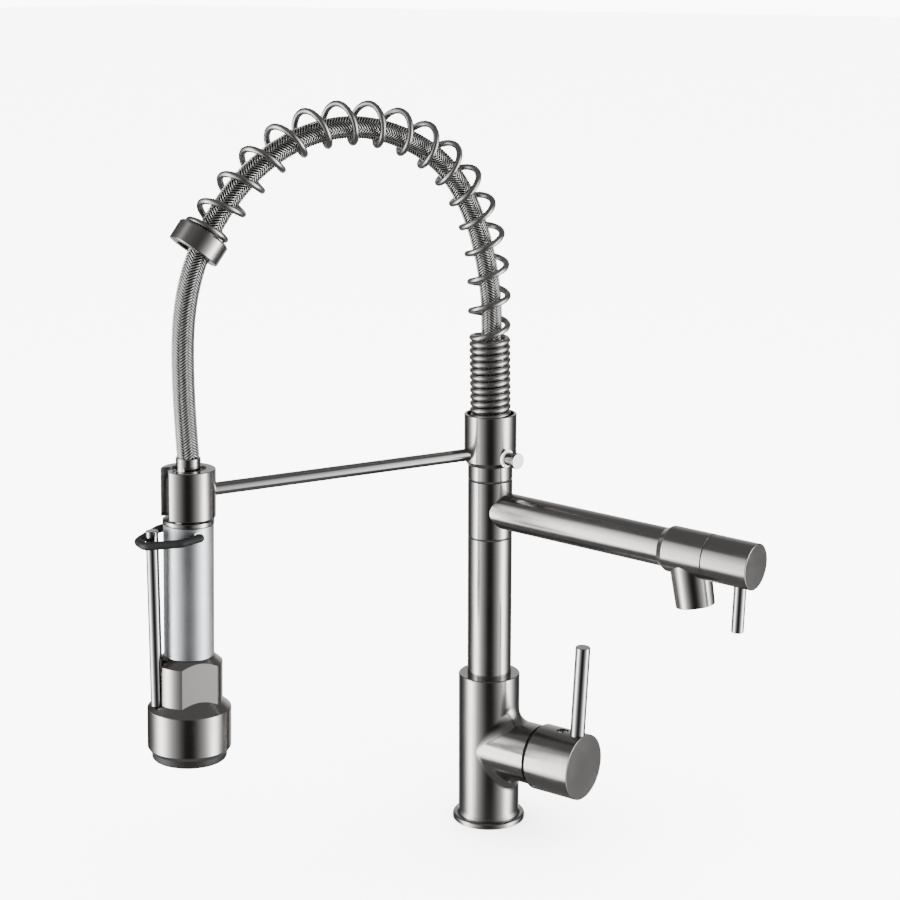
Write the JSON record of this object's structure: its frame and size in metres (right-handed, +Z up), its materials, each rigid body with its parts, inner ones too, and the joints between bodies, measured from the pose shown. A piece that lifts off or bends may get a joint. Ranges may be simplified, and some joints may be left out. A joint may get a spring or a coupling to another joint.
{
  "type": "pull down kitchen faucet",
  "caption": "Single-hole kitchen faucet with a coiled spring arch over a braided hose, a pull-down sprayer in a docking arm, a swivel side spout and a side mixing handle.",
  "frame": {"origin": "centre of the base flange's underside, on the column's axis", "axes": "+Z up along the column, +X along the mixing handle's cartridge and the side spout, -Y to the front of the sink"},
  "size_m": [0.3193, 0.2546, 0.4978],
  "materials": {
    "brushed_nickel": "satin",
    "dark_chrome": "polished",
    "satin_aluminium": "satin",
    "black_rubber": "matte",
    "brass": "turned",
    "nylon": "matte",
    "ceramic": "lapped",
    "stainless_steel": "bright",
    "spring_steel": "satin",
    "braided_hose": "woven",
    "grey_plastic": "matte"
  },
  "bodies": {
    "column": {"base_flange": "brushed_nickel", "base_gasket": "black_rubber", "faucet_body": "brushed_nickel", "lower_column": "brushed_nickel", "swivel_post": "brass", "post_o_rings": "black_rubber", "swivel_washers": "nylon", "cartridge_base": "nylon", "cartridge_seals": "black_rubber", "fixed_disc": "ceramic", "cartridge_housing": "nylon", "cartridge_lock_nut": "brass", "gap_ring": "black_rubber"},
    "mixing_carrier": {"cartridge_turner": "nylon", "moving_disc": "ceramic", "stem_pivot_pin": "stainless_steel"},
    "handle": {"handle_stem": "stainless_steel", "handle_hub": "brushed_nickel", "handle_pin": "dark_chrome", "handle_screw": "stainless_steel"},
    "spout": {"spout_collar": "brushed_nickel", "spout_tube": "brushed_nickel", "spout_end_body": "brushed_nickel", "spout_nozzle": "brushed_nickel", "aerator_housing": "nylon", "aerator_screen": "nylon", "spout_valve": "brass"},
    "spout_control": {"spout_knob": "brushed_nickel", "spout_knob_pin": "dark_chrome", "spout_valve_stem": "brass"},
    "head": {"diverter_body": "brushed_nickel", "head_screw": "stainless_steel", "button_bush": "nylon", "docking_arm": "brushed_nickel", "dock_holder": "brushed_nickel", "dock_liner": "black_rubber", "arch_spring": "spring_steel", "spring_end_cap": "brushed_nickel", "spray_hose": "braided_hose", "hose_inlet_nut": "brass"},
    "diverter": {"diverter_button": "dark_chrome", "button_spring": "spring_steel", "diverter_spool": "brass"},
    "connector": {"crimp_sleeve": "brushed_nickel", "swivel_connector": "brushed_nickel"},
    "sprayer": {"neck_ring": "brushed_nickel", "grip_sleeve": "satin_aluminium", "sprayer_inner_tube": "nylon", "bail_bushes": "nylon", "valve_body": "brushed_nickel", "head_shroud": "brushed_nickel", "face_bumper": "black_rubber", "spray_face": "grey_plastic", "water_guide": "nylon", "lever_pivot_pin": "stainless_steel"},
    "lever": {"spray_lever": "dark_chrome"},
    "plunger": {"valve_plunger": "brass", "plunger_spring": "spring_steel"},
    "bail": {"lock_bail": "black_rubber"}
  },
  "joints": [
    {"name": "handle_turn", "type": "hinge", "parent": "column", "child": "mixing_carrier", "pos_m": [0.02, 0, 0.0547], "axis": [1, 0, 0], "range_deg": [-45, 45]},
    {"name": "handle_tilt", "type": "hinge", "parent": "mixing_carrier", "child": "handle", "pos_m": [0.027, 0, 0.0547], "axis": [0, 1, 0], "range_deg": [0, 20]},
    {"name": "spout_swivel", "type": "hinge", "parent": "column", "child": "spout", "pos_m": [0, 0, 0.223], "axis": [0, 0, 1], "continuous": true},
    {"name": "spout_valve_turn", "type": "hinge", "parent": "spout", "child": "spout_control", "pos_m": [0.18491, 0, 0.21735], "axis": [0.9995, 0, -0.0305], "range_deg": [0, 90]},
    {"name": "head_swivel", "type": "hinge", "parent": "column", "child": "head", "pos_m": [0, 0, 0.25], "axis": [0, 0, 1], "continuous": true},
    {"name": "diverter_push", "type": "slide", "parent": "head", "child": "diverter", "axis": [-0.9744, 0.225, 0], "range_m": [0, 0.004], "stiffness_N_per_m": 400, "springref_m": -0.002, "deforming": ["button_spring"]},
    {"name": "sprayer_pull", "type": "slide", "parent": "head", "child": "connector", "axis": [-0.0117, -0.0253, -0.9996], "range_m": [0, 0.04], "deforming": ["spray_hose"]},
    {"name": "sprayer_swivel", "type": "hinge", "parent": "connector", "child": "sprayer", "pos_m": [-0.09091, -0.19676, 0.23501], "axis": [0.0117, 0.0253, 0.9996], "continuous": true},
    {"name": "spray_lever_squeeze", "type": "hinge", "parent": "sprayer", "child": "lever", "pos_m": [-0.10072, -0.21797, 0.11462], "axis": [-0.9078, 0.4195, 0], "range_deg": [0, 1.8], "stiffness_Nm_per_rad": 2, "springref_deg": -9.74},
    {"name": "plunger_press", "type": "slide", "parent": "sprayer", "child": "plunger", "axis": [0.4193, 0.9074, -0.0279], "range_m": [0, 0.0003], "deforming": ["plunger_spring"]},
    {"name": "lock_bail_swing", "type": "hinge", "parent": "sprayer", "child": "bail", "pos_m": [-0.09089, -0.19671, 0.23701], "axis": [-0.9078, 0.4195, 0], "range_deg": [0, 45]}
  ],
  "couplings": [
    {"joint": "plunger_press", "follows": "spray_lever_squeeze", "m_per_rad": 0.0095}
  ]
}
